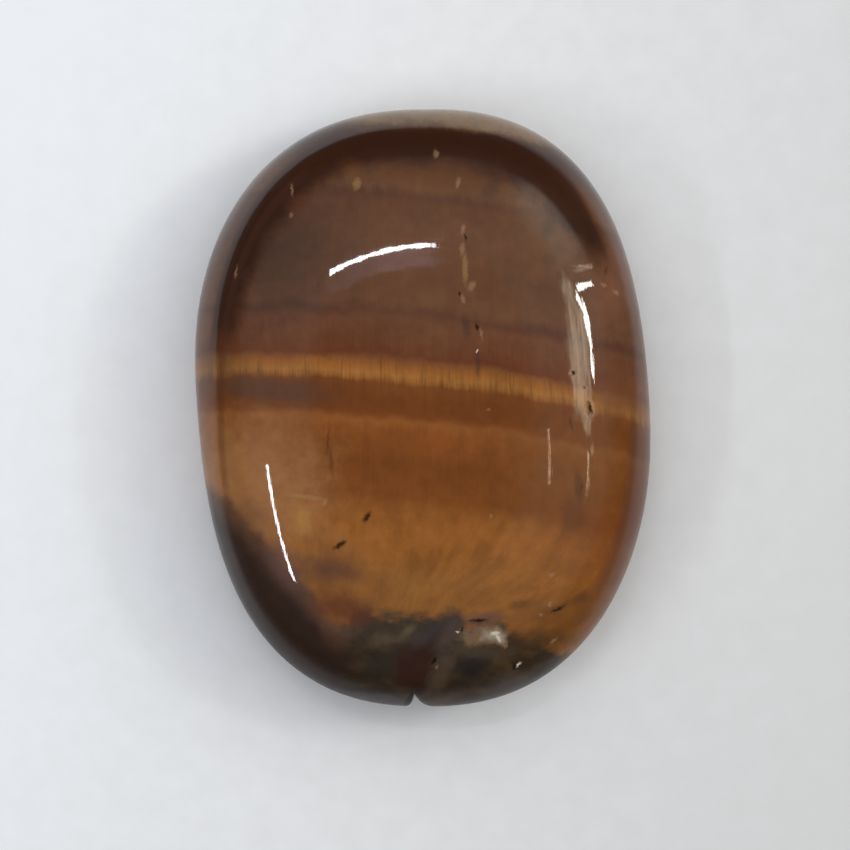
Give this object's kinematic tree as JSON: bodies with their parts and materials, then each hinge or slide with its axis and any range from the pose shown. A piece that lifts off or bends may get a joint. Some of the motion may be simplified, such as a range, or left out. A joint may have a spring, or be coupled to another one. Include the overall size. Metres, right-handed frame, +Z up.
{
  "type": "polished tigers eye stone",
  "caption": "Polished oval tiger's eye pebble with golden brown bands, a low domed top, a rounded edge notched at one end, and a flat underside.",
  "frame": {"origin": "middle of the flat underside, under the middle of the outline", "axes": "+Z up out of the domed top, +Y along the stone's length away from the notched end, +X across its width"},
  "size_m": [0.0306, 0.04, 0.0104],
  "materials": {
    "tigers_eye": "polished, golden brown banded quartz with a silky sheen"
  },
  "bodies": {
    "root": {"stone": "tigers_eye"}
  },
  "joints": []
}
